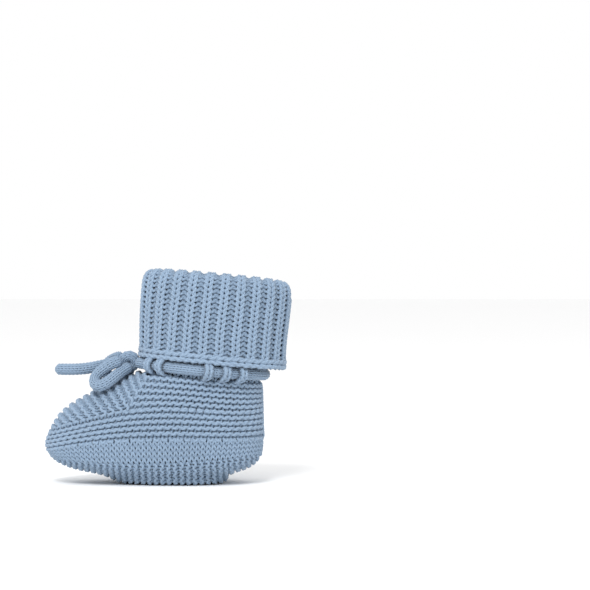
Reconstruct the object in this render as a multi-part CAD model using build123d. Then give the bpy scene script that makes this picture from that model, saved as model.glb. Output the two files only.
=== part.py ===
"""Knitted baby bootie: garter-stitch foot, drawn-in ankle with a threaded tie, turned-down ribbed cuff.

Frame: +Z up, toe towards -Y, heel towards +Y, symmetric about X = 0 apart from the bow.
The origin is on the ground, under the middle of the bootie's length. All sizes are in millimetres.
"""
from build123d import *
import math
import os

# ---------------------------------------------------------------- foot
FOOT_WALL = 3.5            # thickness of garter-stitch fabric
FOOT_FULLNESS = 2.3        # 2 would be an ellipse, higher is squarer
MIDFOOT_Y = 6.0            # where each level of the foot is widest
# each level of the foot: height, toe end, heel end, half width
FOOT_LEVELS = [
    (0.0, -17.0, 20.0, 13.0),
    (2.5, -28.0, 27.5, 17.2),
    (6.0, -42.5, 35.5, 19.9),
    (11.0, -53.0, 41.8, 21.6),
    (17.0, -56.0, 43.3, 22.4),
    (24.0, -53.8, 43.1, 22.5),
    (31.0, -48.6, 42.9, 21.8),
    (38.0, -37.0, 42.7, 20.3),
    (43.5, -26.2, 42.5, 18.9),
    (48.5, -16.6, 42.3, 17.6),
    (53.0, -10.6, 42.2, 16.9),
    (57.0, -9.6, 42.1, 16.8),
]
# seam lines of the foot, as seen from the side: (y, z)
SOLE_LINE = [(-62.0, 11.6), (-55.0, 12.0), (-40.0, 9.4), (-15.0, 9.8), (15.0, 10.8), (50.0, 13.6)]
BORDER_LINE = [(-62.0, 13.2), (-55.0, 14.8), (-40.0, 18.4), (-15.0, 20.5), (15.0, 20.8), (50.0, 20.8)]
BAND_LINE = [(-62.0, 22.6), (-52.5, 24.8), (-35.0, 29.8), (-17.5, 33.3), (10.0, 34.2), (50.0, 34.2)]
INSTEP_CORNER = (-17.5, 33.3)
INSTEP_TOP = (-8.0, 50.5)
SEAM_WIDTH = 2.6           # knitted-in seam up the back

# ---------------------------------------------------------------- ankle and cuff
LEG_Y = 13.75              # centre of the ankle
LEG_Z = 51.8
LEG_LEAN = -5.43           # tilt of the ankle and of the cuff about X, in degrees
ANKLE_FRONT = -23.8        # along the leaning plane, from the ankle's centre
ANKLE_BACK = 28.6
ANKLE_HALF = 16.8
ANKLE_WALL = 2.4
ANKLE_LOW = -4.0
ANKLE_HIGH = 4.0
RIB_WALL = 3.2             # thickness of ribbed fabric
CUFF_GAP = 1.0             # air between the leg and the turned-down cuff
CUFF_FULLNESS = 2.15
CUFF_BACKSET = 4.8         # the cuff's centre lies this far behind the ankle's centre
# each level of the turned-down cuff's outside: height, front, back, half width
CUFF_LEVELS = [
    (4.3, -27.6, 39.2, 21.6),
    (12.0, -28.4, 38.6, 21.8),
    (25.0, -29.3, 38.8, 22.0),
    (37.0, -29.5, 38.9, 22.0),
]
HEM_TOP = 7.0
FOLD_HEIGHT = 6.4          # height of the rounded fold above the straight cuff

# ---------------------------------------------------------------- tie
TIE_D = 5.2                # knitted cord
TIE_CLEARANCE = 0.9        # between the cord and the fabric that holds it
CHANNEL_DEPTH = 1.6        # the cord's channel in the ankle band
CHANNEL_LIP = 1.1          # height of band left above and below the channel
BAR_ANGLES = [34.0, 48.0, 96.0, 112.0, 128.0]      # knitted bars over the cord, from the front, both sides
BAR_WIDTH = 3.4
BAR_WALL = 1.2
TIE_ANGLES = [20.0, 36.0, 52.0, 70.0, 90.0, 110.0, 128.0, 144.0, 160.0]     # points of the cord's route
KNOT_REACH = 31.7          # knot's centre in front of the ankle's centre
KNOT_R = 4.9
# free routes of the cord: the loops start and end beside the knot, the ends start beside it
LOOP_RIGHT = [(5.2, -21.4, 55.6), (8.6, -25.6, 54.2), (8.2, -30.2, 51.0), (8.6, -33.2, 47.6),
              (12.2, -32.0, 43.6), (13.6, -26.8, 44.0), (10.0, -22.6, 47.8), (4.4, -19.6, 50.6)]
LOOP_LEFT = [(-5.0, -21.3, 56.9), (-9.0, -25.2, 56.0), (-12.8, -29.0, 53.0), (-16.0, -30.0, 48.8),
             (-18.0, -26.6, 44.8), (-15.8, -21.6, 45.4), (-11.2, -18.8, 49.6), (-5.8, -18.4, 52.3)]
END_RIGHT = [(0.3, -24.6, 54.3), (0.6, -30.0, 53.0), (1.2, -37.0, 51.6), (1.6, -44.4, 51.2), (1.2, -51.2, 51.4)]
END_LEFT = [(-1.6, -22.3, 48.5), (-4.2, -26.2, 46.3), (-7.8, -29.8, 44.6), (-12.8, -32.4, 41.8),
            (-17.8, -34.0, 37.6), (-21.4, -34.8, 32.0)]

BAND_MIDDLE = (ANKLE_FRONT + ANKLE_BACK) / 2
TIE_OUTWARD = TIE_D / 2 + TIE_CLEARANCE - CHANNEL_DEPTH     # cord's centre, outward of the band
LEG_PLANE = Plane(origin=(0, LEG_Y, LEG_Z), x_dir=(1, 0, 0),
                  z_dir=(0, -math.sin(math.radians(LEG_LEAN)), math.cos(math.radians(LEG_LEAN))))


def oval(level, front, back, half, middle, fullness):
    """Closed outline at one height: two half ovals that meet where the level is widest."""
    points = []
    steps = 12
    for end, turn in ((front, 1), (back, -1)):
        for i in range(steps):
            angle = math.pi * i / steps - math.pi / 2
            x = half * math.copysign(abs(math.sin(angle)) ** (2 / fullness), math.sin(angle))
            reach = (end - middle) * abs(math.cos(angle)) ** (2 / fullness)
            points.append((turn * x, middle + reach, level))
    return Wire([Spline(*points, periodic=True)])


def tube_stack(levels, middle, fullness, ruled=False):
    """Solid through a stack of ovals, smooth or with straight sides from level to level."""
    sections = [Face(oval(z, front, back, half, middle, fullness)) for z, front, back, half in levels]
    return loft(sections, ruled=ruled)


def inset(levels, depth):
    """The same levels, drawn in all round by a fabric's thickness."""
    return [(z, front + depth, back - depth, half - depth) for z, front, back, half in levels]


def read_off(curve, height):
    """Reach of a (reach, height) curve at one height."""
    for (low_reach, low), (high_reach, high) in zip(curve, curve[1:]):
        if height <= high:
            share = max(0.0, (height - low) / (high - low))
            return low_reach + share * (high_reach - low_reach)
    return curve[-1][0]


def hollow_levels(levels, middle, depth):
    """Levels of the hollow inside a stack: each outline moved in, square to its slope, by depth."""
    sides = [[(middle - front, z) for z, front, _, _ in levels],
             [(back - middle, z) for z, _, back, _ in levels],
             [(half, z) for z, _, _, half in levels]]
    curves = []
    for side in sides:
        curve = []
        for i, (reach, z) in enumerate(side):
            (reach_a, z_a), (reach_b, z_b) = side[max(i - 1, 0)], side[min(i + 1, len(side) - 1)]
            slant = math.hypot(reach_b - reach_a, z_b - z_a)
            curve.append((reach - depth * (z_b - z_a) / slant, z + depth * (reach_b - reach_a) / slant))
        curves.append(curve)
    heights = [depth] + [z for z, _, _, _ in levels if z > 1.5 * depth]
    hollow = []
    for z in heights:
        front, back, half = [read_off(curve, z) for curve in curves]
        hollow.append((z, middle - front, middle + back, half))
    return hollow


def side_region(lower, upper):
    """Everything between two lines drawn on the bootie's side."""
    low, high = Spline(*lower), Spline(*upper)
    outline = Wire([low, Line(lower[-1], upper[-1]), high, Line(upper[0], lower[0])])
    return extrude(Plane.YZ * Face(outline), amount=40, both=True)


def save(name, shape):
    """Write one sub-part."""
    shape.label = name
    export_step(shape, f"parts/{name}.step")
    print(name, round(shape.volume))


def front_of(corner, top):
    """Everything in front of a straight seam that rises from corner to top on the side."""
    lean = (top[0] - corner[0]) / (top[1] - corner[1])
    low = (corner[0] - lean * corner[1], 0.0)
    high = (low[0] + lean * 80.0, 80.0)
    outline = Polyline(low, high, (-80.0, 80.0), (-80.0, 0.0), close=True)
    return extrude(Plane.YZ * Face(Wire(outline.edges())), amount=40, both=True)


def leg_slab(low, high):
    """Everything between two heights above the tie, square to the leg."""
    slab = Box(120, 160, high - low, align=(Align.CENTER, Align.CENTER, Align.MIN))
    return slab.moved(Location((0, 0, low)))


def cord_path(points):
    """Straight runs joined by arcs as large as the runs allow, and the arcs' radii."""
    spots = [Vector(*point) for point in points]
    runs = [b - a for a, b in zip(spots, spots[1:])]
    radii = []
    for before, after in zip(runs, runs[1:]):
        half_turn = math.radians(before.get_angle(after)) / 2
        radii.append(0.45 * min(before.length, after.length) / math.tan(half_turn))
    return FilletPolyline(*points, radius=radii), radii


def cord_tube(name, points, diameter):
    """Round cord along a route."""
    path, radii = cord_path(points)
    start = Plane(origin=path @ 0, z_dir=path % 0)
    tube = sweep(start * Circle(diameter / 2), path=path)
    ideal = math.pi * diameter**2 / 4 * path.length
    print(name, "length", round(path.length, 1), "volume over ideal", round(tube.volume / ideal, 4),
          "radii", [round(radius, 1) for radius in radii])
    return tube


def rim_point(angle, outward):
    """Place round the ankle, by angle from the front, outward of the band's outside."""
    turn = math.radians(angle)
    width = ANKLE_HALF + outward
    length = (ANKLE_BACK - ANKLE_FRONT) / 2 + outward
    return (width * math.sin(turn), BAND_MIDDLE - length * math.cos(turn), 0.0)


def band_disc(inward):
    """Outline of the ankle band, moved in by a depth."""
    return Location((0, BAND_MIDDLE, 0)) * Ellipse(ANKLE_HALF - inward, (ANKLE_BACK - ANKLE_FRONT) / 2 - inward)


def tie_route():
    """Route of the threaded cord, in the leg's plane, from the knot round the ankle and back."""
    right = [rim_point(angle, TIE_OUTWARD) for angle in TIE_ANGLES]
    right.insert(0, (TIE_D / 2 + 0.3, -KNOT_REACH + 3.0, 0.0))
    left = [(-x, y, z) for x, y, z in reversed(right)]
    return right + [rim_point(180.0, TIE_OUTWARD)] + left


def eyelet_bar(angle):
    """Narrow bridge of fabric that holds the cord against the band, at one angle."""
    half_height = TIE_D / 2 + 0.3
    reach = TIE_OUTWARD + TIE_D / 2 + 0.3
    over = Box(BAR_WIDTH, BAR_WALL, ANKLE_HIGH - ANKLE_LOW).moved(Location((0, reach + BAR_WALL / 2, 0)))
    foot_height = ANKLE_HIGH - half_height
    foot_reach = reach - TIE_CLEARANCE
    bar = over
    for side in (-1, 1):
        middle = side * (half_height + foot_height / 2)
        block = Box(BAR_WIDTH, foot_reach, foot_height)
        bar += block.moved(Location((0, reach - foot_reach / 2, middle)))
    x, y, _ = rim_point(angle, 0.0)
    normal = math.degrees(math.atan2(y - BAND_MIDDLE, x * ((ANKLE_BACK - ANKLE_FRONT) / 2 / ANKLE_HALF) ** 2))
    return bar.moved(Location((x, y, 0), (0, 0, normal - 90)))


os.makedirs("parts", exist_ok=True)

# ---- foot: one shell, divided along its seam lines
foot = tube_stack(FOOT_LEVELS, MIDFOOT_Y, FOOT_FULLNESS)
shell = foot - tube_stack(hollow_levels(FOOT_LEVELS, MIDFOOT_Y, FOOT_WALL), MIDFOOT_Y, FOOT_FULLNESS)
shell -= LEG_PLANE * leg_slab(ANKLE_LOW, 40.0)
shell -= Box(100, 200, 10, align=(Align.CENTER, Align.CENTER, Align.MAX))
ground = [(SOLE_LINE[0][0], -20.0), (-6.0, -21.0), (SOLE_LINE[-1][0], -20.0)]
sky = [(BAND_LINE[0][0], 80.0), (-6.0, 81.0), (BAND_LINE[-1][0], 80.0)]
uppers = shell & side_region(BAND_LINE, sky)
toe_side = front_of(INSTEP_CORNER, INSTEP_TOP)
back_strip = Box(SEAM_WIDTH, 80, 200, align=(Align.CENTER, Align.MIN, Align.CENTER))
back_strip = back_strip.moved(Location((0, MIDFOOT_Y, 0)))
walls = (uppers - toe_side) - back_strip
save("sole", shell & side_region(ground, SOLE_LINE))
save("sole_edge", shell & side_region(SOLE_LINE, BORDER_LINE))
save("foot_band", shell & side_region(BORDER_LINE, BAND_LINE))
save("instep", uppers & toe_side)
save("heel_seam", (uppers - toe_side) & back_strip)
right_wall, left_wall = sorted(walls.solids(), key=lambda solid: -solid.center().X)
save("side_wall_right", right_wall)
save("side_wall_left", left_wall)

# ---- tie, threaded round the ankle, with its knot, loops and ends
knot = Sphere(KNOT_R).moved(Location((0, -KNOT_REACH, 0)))
save("ankle_tie", LEG_PLANE * (cord_tube("ankle_tie", tie_route(), TIE_D) - knot))
save("tie_knot", LEG_PLANE * knot)
loose = {"bow_loop_right": LOOP_RIGHT, "bow_loop_left": LOOP_LEFT, "tie_end_right": END_RIGHT, "tie_end_left": END_LEFT}
for name, route in loose.items():
    save(name, cord_tube(name, route, TIE_D))

# ---- ankle band with the cord's channel, and the bars over it, in the leg's plane
ring = Location((0, 0, ANKLE_LOW)) * (band_disc(0.0) - band_disc(ANKLE_WALL))
band = extrude(ring, amount=ANKLE_HIGH - ANKLE_LOW)
channel = Location((0, 0, ANKLE_LOW + CHANNEL_LIP)) * (band_disc(-1.0) - band_disc(CHANNEL_DEPTH))
band -= extrude(channel, amount=ANKLE_HIGH - ANKLE_LOW - 2 * CHANNEL_LIP)
save("ankle_band", LEG_PLANE * band)
bars = [eyelet_bar(side * angle) for side in (1, -1) for angle in BAR_ANGLES]
save("eyelet_bars", LEG_PLANE * Compound(children=bars))

# ---- leg, fold and turned-down cuff
leg_inset = RIB_WALL + CUFF_GAP
leg_levels = inset(CUFF_LEVELS, leg_inset)
leg_levels[0] = (ANKLE_HIGH, ANKLE_FRONT, ANKLE_BACK, ANKLE_HALF)
leg_levels.insert(1, (HEM_TOP + 2.0, -24.0, 34.2, 17.5))
leg = tube_stack(leg_levels, CUFF_BACKSET, CUFF_FULLNESS, ruled=True)
leg -= tube_stack(inset(leg_levels, RIB_WALL), CUFF_BACKSET, CUFF_FULLNESS, ruled=True)
save("leg", LEG_PLANE * leg)
cuff = tube_stack(CUFF_LEVELS, CUFF_BACKSET, CUFF_FULLNESS)
cuff -= tube_stack(inset(CUFF_LEVELS, RIB_WALL), CUFF_BACKSET, CUFF_FULLNESS)
hem_slab = leg_slab(0.0, HEM_TOP)
seam_strip = back_strip.moved(Location((0, -MIDFOOT_Y, 0)))
save("cuff_hem", LEG_PLANE * (cuff & hem_slab))
save("cuff", LEG_PLANE * ((cuff - hem_slab) - seam_strip))
save("cuff_seam", LEG_PLANE * ((cuff - hem_slab) & seam_strip))
fold_half = RIB_WALL + CUFF_GAP / 2
top_level = CUFF_LEVELS[-1]
outer_fold, inner_fold = [], []
for angle in (0, 30, 55, 75):
    turn = math.radians(angle)
    rise = FOLD_HEIGHT * math.sin(turn)
    lean = fold_half * (1 - math.cos(turn))
    for stack, depth in ((outer_fold, lean), (inner_fold, 2 * fold_half - lean)):
        height, front, back, half = inset([top_level], depth)[0]
        stack.append((height + rise, front, back, half))
fold = tube_stack(outer_fold, CUFF_BACKSET, CUFF_FULLNESS) - tube_stack(inner_fold, CUFF_BACKSET, CUFF_FULLNESS)
save("cuff_fold", LEG_PLANE * fold)
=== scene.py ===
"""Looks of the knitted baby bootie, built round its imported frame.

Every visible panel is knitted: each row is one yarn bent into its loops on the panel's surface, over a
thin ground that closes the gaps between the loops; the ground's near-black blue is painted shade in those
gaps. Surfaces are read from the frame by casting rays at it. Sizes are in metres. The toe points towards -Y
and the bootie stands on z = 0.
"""
import logging
import math
from dataclasses import dataclass
from enum import Enum
from typing import Callable, Sequence

import bpy
import numpy as np
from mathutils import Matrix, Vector
from mathutils.bvhtree import BVHTree


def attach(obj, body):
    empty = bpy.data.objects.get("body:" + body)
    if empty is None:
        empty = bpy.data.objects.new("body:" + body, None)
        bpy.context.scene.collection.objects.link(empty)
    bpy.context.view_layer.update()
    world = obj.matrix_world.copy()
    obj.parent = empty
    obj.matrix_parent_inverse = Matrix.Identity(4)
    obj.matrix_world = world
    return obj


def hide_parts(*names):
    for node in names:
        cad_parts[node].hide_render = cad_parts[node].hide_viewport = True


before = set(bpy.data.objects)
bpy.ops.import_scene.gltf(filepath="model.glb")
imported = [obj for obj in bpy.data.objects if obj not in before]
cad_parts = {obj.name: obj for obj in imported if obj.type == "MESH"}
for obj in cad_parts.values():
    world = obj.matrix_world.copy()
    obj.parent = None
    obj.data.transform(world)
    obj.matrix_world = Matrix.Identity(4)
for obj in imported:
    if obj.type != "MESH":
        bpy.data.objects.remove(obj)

log = logging.getLogger("bootie")
MM = 0.001
TURN = 2 * math.pi
SIDEWAYS = np.array((1.0, 0.0, 0.0))
BACKWARDS = np.array((0.0, 1.0, 0.0))
PLIES = 3

# ---- the foot's seam lines, seen from the side, as (y, z) in millimetres
SOLE_LINE = [(-62, 11.6), (-55, 12.0), (-40, 9.4), (-15, 9.8), (15, 10.8), (50, 13.6)]
BORDER_LINE = [(-62, 13.2), (-55, 14.8), (-40, 18.4), (-15, 20.5), (15, 20.8), (50, 20.8)]
BAND_LINE = [(-62, 22.6), (-52.5, 24.8), (-35, 29.8), (-17.5, 33.3), (10, 34.2), (50, 34.2)]
INSTEP_CORNER = (-0.0175, 0.0333)
INSTEP_TOP = (-0.0080, 0.0505)
INSTEP_OUT = np.array((0.0, -0.5, 0.85))
INSTEP_SWELL = 1.7 * MM
MIDFOOT_Y = 0.006

# ---- the leg's leaning frame
LEG_Y = 0.01375
LEG_Z = 0.0518
LEG_COS = math.cos(math.radians(5.43))
LEG_SIN = math.sin(math.radians(5.43))
LEG_UP = np.array((0.0, LEG_SIN, LEG_COS))
ANKLE_LOW = -0.004
ANKLE_HIGH = 0.004
BAND_BACKSET = 0.0024
CUFF_BACKSET = 0.0048
CUFF_LOW = 0.0043
CUFF_HIGH = 0.0366
FOLD_HALF = 0.0037
FOLD_HEIGHT = 0.0069
RAY_REACH = 0.08
RIB_REPEATS = 24
RIB_WIDTHS = (4.5, 3.1)
RIB_LIFTS = (-0.95, -2.25)

# ---- the tie, as (x, y, z) in millimetres
TIE_D = 0.0052
KNOT_CORD_D = 0.0050
KNOT_RING = 2.5
KNOT_LEAN = 0.6
KNOT = np.array((0.0, -0.0178, 0.0548))
LOOP_RIGHT = [(5.2, -21.4, 55.6), (8.6, -25.6, 54.2), (8.2, -30.2, 51.0), (8.6, -33.2, 47.6),
              (12.2, -32.2, 44.0), (13.4, -27.8, 45.2), (10.4, -23.6, 48.6), (5.2, -20.2, 51.2),
              (2.8, -16.8, 52.9)]
LOOP_LEFT = [(-5.0, -21.3, 56.9), (-9.0, -25.2, 56.0), (-12.8, -29.0, 53.0), (-16.0, -30.0, 48.8),
             (-18.0, -26.6, 44.8), (-15.8, -21.6, 45.4), (-11.2, -18.8, 49.6), (-5.8, -18.2, 52.3),
             (-3.0, -16.8, 53.6)]
END_RIGHT = [(0.2, -20.2, 54.6), (0.3, -24.6, 54.3), (0.6, -30.0, 53.0), (1.2, -37.0, 51.6),
             (1.6, -44.4, 51.2), (1.2, -51.6, 51.4)]
END_LEFT = [(-0.9, -20.2, 50.9), (-1.9, -22.7, 48.3), (-4.2, -26.2, 46.3), (-7.8, -29.8, 44.6),
            (-12.8, -32.4, 41.8), (-17.8, -34.0, 37.6), (-21.4, -34.8, 32.0)]

# ---- the camera, in metres and degrees
CAMERA_AWAY = 1.2
CAMERA_RISE = 1.5
CAMERA_TARGET = (0.0, 0.0575, 0.0850)
FRAME_WIDTH = 0.268
SENSOR_WIDTH = 36


class Face(Enum):
    """How a row of stitches lies in the fabric."""

    GARTER = "garter"
    PLAIN = "plain"


@dataclass(frozen=True)
class YarnFinish:
    """The look of one yarn: its colour in the light, its painted shade colour for the backs of its loops, its
    inner side and its ply grooves, and how fluffy it is.
    """

    name: str
    colour: tuple[float, float, float]
    shade: tuple[float, float, float]
    roughness: float = 0.82
    sheen: float = 0.22
    twist_per_mm: float = 0.55
    twist_depth: float = 0.00011


@dataclass(frozen=True)
class Gauge:
    """The shape of one stitch.

    Attributes:
        face: garter or plain.
        sway: how far the loop leans, as a part of the stitch's width.
        reach: how far the loop reaches up and down, as a part of the row's height.
        depth: how far the loop comes forward and goes back, in metres.
        yarn: radius of the yarn, in metres.
        steps: points along one stitch.
        wander: unevenness of hand knitting, as a part of the stitch's width.
    """

    face: Face
    sway: float
    reach: float
    depth: float
    yarn: float
    steps: int = 10
    wander: float = 0.035


GARTER = Gauge(Face.GARTER, sway=0.15, reach=0.80, depth=1.0 * MM, yarn=0.76 * MM)
INSTEP_GARTER = Gauge(Face.GARTER, sway=0.16, reach=0.72, depth=0.95 * MM, yarn=0.73 * MM)
SOLE_GARTER = Gauge(Face.GARTER, sway=0.15, reach=0.80, depth=0.8 * MM, yarn=0.70 * MM)
EDGE_PLAIN = Gauge(Face.PLAIN, sway=0.28, reach=0.80, depth=0.55 * MM, yarn=0.58 * MM)
RIB = Gauge(Face.PLAIN, sway=0.285, reach=0.74, depth=0.80 * MM, yarn=0.76 * MM)
CHAIN = Gauge(Face.PLAIN, sway=0.24, reach=0.95, depth=0.50 * MM, yarn=0.84 * MM)
CORD = Gauge(Face.PLAIN, sway=0.24, reach=0.92, depth=0.24 * MM, yarn=0.43 * MM, steps=8, wander=0.02)


@dataclass(frozen=True)
class Layer:
    """How far a panel's yarn and its ground, a dark sheet of painted shade behind the loops, lie outside the
    panel's outer surface, in metres.

    Attributes:
        lift: the middle of the yarn's rows.
        top: the ground's outer side.
        bottom: the ground's inner side.
    """

    lift: float
    top: float
    bottom: float


WALL_LAYER = Layer(-1.45 * MM, -1.9 * MM, -2.8 * MM)
INSTEP_LAYER = Layer(-1.25 * MM, -1.9 * MM, -2.8 * MM)
SOLE_LAYER = Layer(-1.3 * MM, -1.7 * MM, -2.8 * MM)
EDGE_LAYER = Layer(-1.1 * MM, -1.6 * MM, -2.6 * MM)
ANKLE_LAYER = Layer(-0.9 * MM, -1.5 * MM, -2.4 * MM)


def unit(vectors: np.ndarray) -> np.ndarray:
    """Scales vectors to length one, along the last axis."""
    return vectors / np.maximum(np.linalg.norm(vectors, axis=-1, keepdims=True), 1e-12)


def smooth_line(points: Sequence[tuple[float, float]]) -> Callable[[np.ndarray], np.ndarray]:
    """A smooth height z(y), in metres, through a seam line given in millimetres."""
    y, z = np.array(points, float).T
    return np.poly1d(np.polyfit(y / 50, z, 4))


_sole, _border, _band = (smooth_line(p) for p in (SOLE_LINE, BORDER_LINE, BAND_LINE))


def sole_z(y):
    """Height of the sole's seam at y."""
    return _sole(y / MM / 50) * MM


def border_z(y):
    """Height of the seam above the sole's edge at y."""
    return _border(y / MM / 50) * MM


def band_z(y):
    """Height of the seam above the lower rows at y."""
    return _band(y / MM / 50) * MM


def leg_place(x, v, w) -> np.ndarray:
    """A point of the leg's leaning frame, in the bootie's own frame."""
    x, v, w = np.broadcast_arrays(x, v, w)
    return np.stack([x, LEG_Y + v * LEG_COS + w * LEG_SIN, LEG_Z - v * LEG_SIN + w * LEG_COS], axis=-1)


def ankle_z(y, w):
    """Height at y of the leg's level w."""
    return LEG_Z + (w - (y - LEG_Y) * LEG_SIN) / LEG_COS


def instep_front(z):
    """How far back, as y, the instep reaches at the height z: the seam beside it is straight."""
    return INSTEP_CORNER[0] + (z - INSTEP_CORNER[1]) * \
        (INSTEP_TOP[0] - INSTEP_CORNER[0]) / (INSTEP_TOP[1] - INSTEP_CORNER[1])


def run_of(points: np.ndarray) -> float:
    """Length of a line of points."""
    return float(np.linalg.norm(np.diff(points, axis=0), axis=1).sum())


def middle_stretch(points: np.ndarray, inside: np.ndarray) -> np.ndarray:
    """The points round the middle one that are inside without a break, and one more at each end."""
    low = high = len(points) // 2
    while low > 0 and inside[low - 1]:
        low -= 1
    while high < len(points) - 1 and inside[high + 1]:
        high += 1
    return points[max(low - 1, 0):high + 2]


class Caster:
    """Finds points on the outside of some of the frame's nodes."""

    def __init__(self, *names: str) -> None:
        verts, faces = [], []
        for name in names:
            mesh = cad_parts[name].data
            start = len(verts)
            verts += [v.co.copy() for v in mesh.vertices]
            faces += [[start + i for i in p.vertices] for p in mesh.polygons]
        self.tree = BVHTree.FromPolygons(verts, faces)

    def hit(self, origin: np.ndarray, target: np.ndarray) -> np.ndarray | None:
        """The first point met on the way from origin to target, or None."""
        way = Vector(target - origin)
        place = self.tree.ray_cast(Vector(origin), way.normalized(), way.length)[0]
        return None if place is None else np.array(place)

    def line(self, origins: np.ndarray, targets: np.ndarray) -> np.ndarray:
        """Hits for several rays; a ray that misses takes the place of its neighbour."""
        out, last = [], None
        for a, b in zip(origins, targets):
            p = self.hit(a, b)
            last = p if p is not None else last
            out.append(last)
        first = next(p for p in out if p is not None)
        return np.array([first if p is None else p for p in out])


def resample(points: np.ndarray, count: int, closed: bool = False) -> np.ndarray:
    """Points evenly spaced along a line of points."""
    line = np.vstack([points, points[:1]]) if closed else points
    run = np.concatenate([[0], np.cumsum(np.linalg.norm(np.diff(line, axis=0), axis=1))])
    at = np.linspace(0, run[-1], count + 1)[:-1] if closed else np.linspace(0, run[-1], count)
    return np.stack([np.interp(at, run, line[:, k]) for k in range(3)], axis=1)


class Surface:
    """A patch of fabric as a grid of points. u runs along the rows and v across them, both from 0 to 1."""

    def __init__(self, points: np.ndarray, outward: np.ndarray, closed: bool = False) -> None:
        """Args:
            points: grid of shape (along, across, 3).
            outward: direction that roughly points out of the fabric, at each point or for all.
            closed: whether the rows run all the way round.
        """
        self.closed = closed
        if closed:
            along = np.roll(points, -1, axis=0) - np.roll(points, 1, axis=0)
        else:
            along = np.gradient(points, axis=0)
        normal = unit(np.cross(along, np.gradient(points, axis=1)))
        normal *= np.where((normal * outward).sum(-1, keepdims=True) < 0, -1, 1)
        self.grid = np.concatenate([points, normal], axis=-1)

    def at(self, u: np.ndarray, v: np.ndarray) -> tuple[np.ndarray, np.ndarray]:
        """Place and outward direction at (u, v); beyond an edge the surface runs straight on."""
        nu, nv = self.grid.shape[:2]
        x, y = u * (nu if self.closed else nu - 1), v * (nv - 1)
        i = np.floor(x).astype(int)
        if self.closed:
            i0, i1 = i % nu, (i + 1) % nu
        else:
            i = np.clip(i, 0, nu - 2)
            i0, i1 = i, i + 1
        j = np.clip(np.floor(y).astype(int), 0, nv - 2)
        s, t = (x - i)[..., None], (y - j)[..., None]
        near = self.grid[i0, j] * (1 - s) + self.grid[i1, j] * s
        far = self.grid[i0, j + 1] * (1 - s) + self.grid[i1, j + 1] * s
        both = near * (1 - t) + far * t
        return both[..., :3], unit(both[..., 3:])

    def width(self, v: float) -> float:
        """Length of the row at v."""
        nu = self.grid.shape[0]
        u = np.linspace(0, 1, nu + 1 if self.closed else nu)
        return run_of(self.at(u, np.full_like(u, v))[0])

    def across(self, v: np.ndarray) -> "Surface":
        """The same surface, read again at other values of v."""
        nu = self.grid.shape[0]
        u = (np.arange(nu) / nu) if self.closed else np.linspace(0, 1, nu)
        points, normal = self.at(*np.meshgrid(u, v, indexing="ij"))
        return Surface(points, normal, self.closed)

    def part(self, v0: float, v1: float, count: int = 24) -> "Surface":
        """The part between two values of v, as a surface of its own."""
        return self.across(np.linspace(v0, v1, count))

    def evened(self, count: int) -> "Surface":
        """The same surface with v measured along the fabric."""
        step = np.linalg.norm(np.diff(self.grid[..., :3], axis=1), axis=-1).mean(axis=0)
        run = np.concatenate([[0], np.cumsum(step)])
        at = np.interp(np.linspace(0, run[-1], count), run, np.arange(len(run))) / (len(run) - 1)
        return self.across(at)


def strip(line: np.ndarray, across: np.ndarray, half: float, outward: np.ndarray) -> Surface:
    """A narrow surface along a line, reaching half its width to each side of it."""
    return Surface(np.stack([line + across * x for x in (-half, 0.0, half)]), outward)


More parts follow.
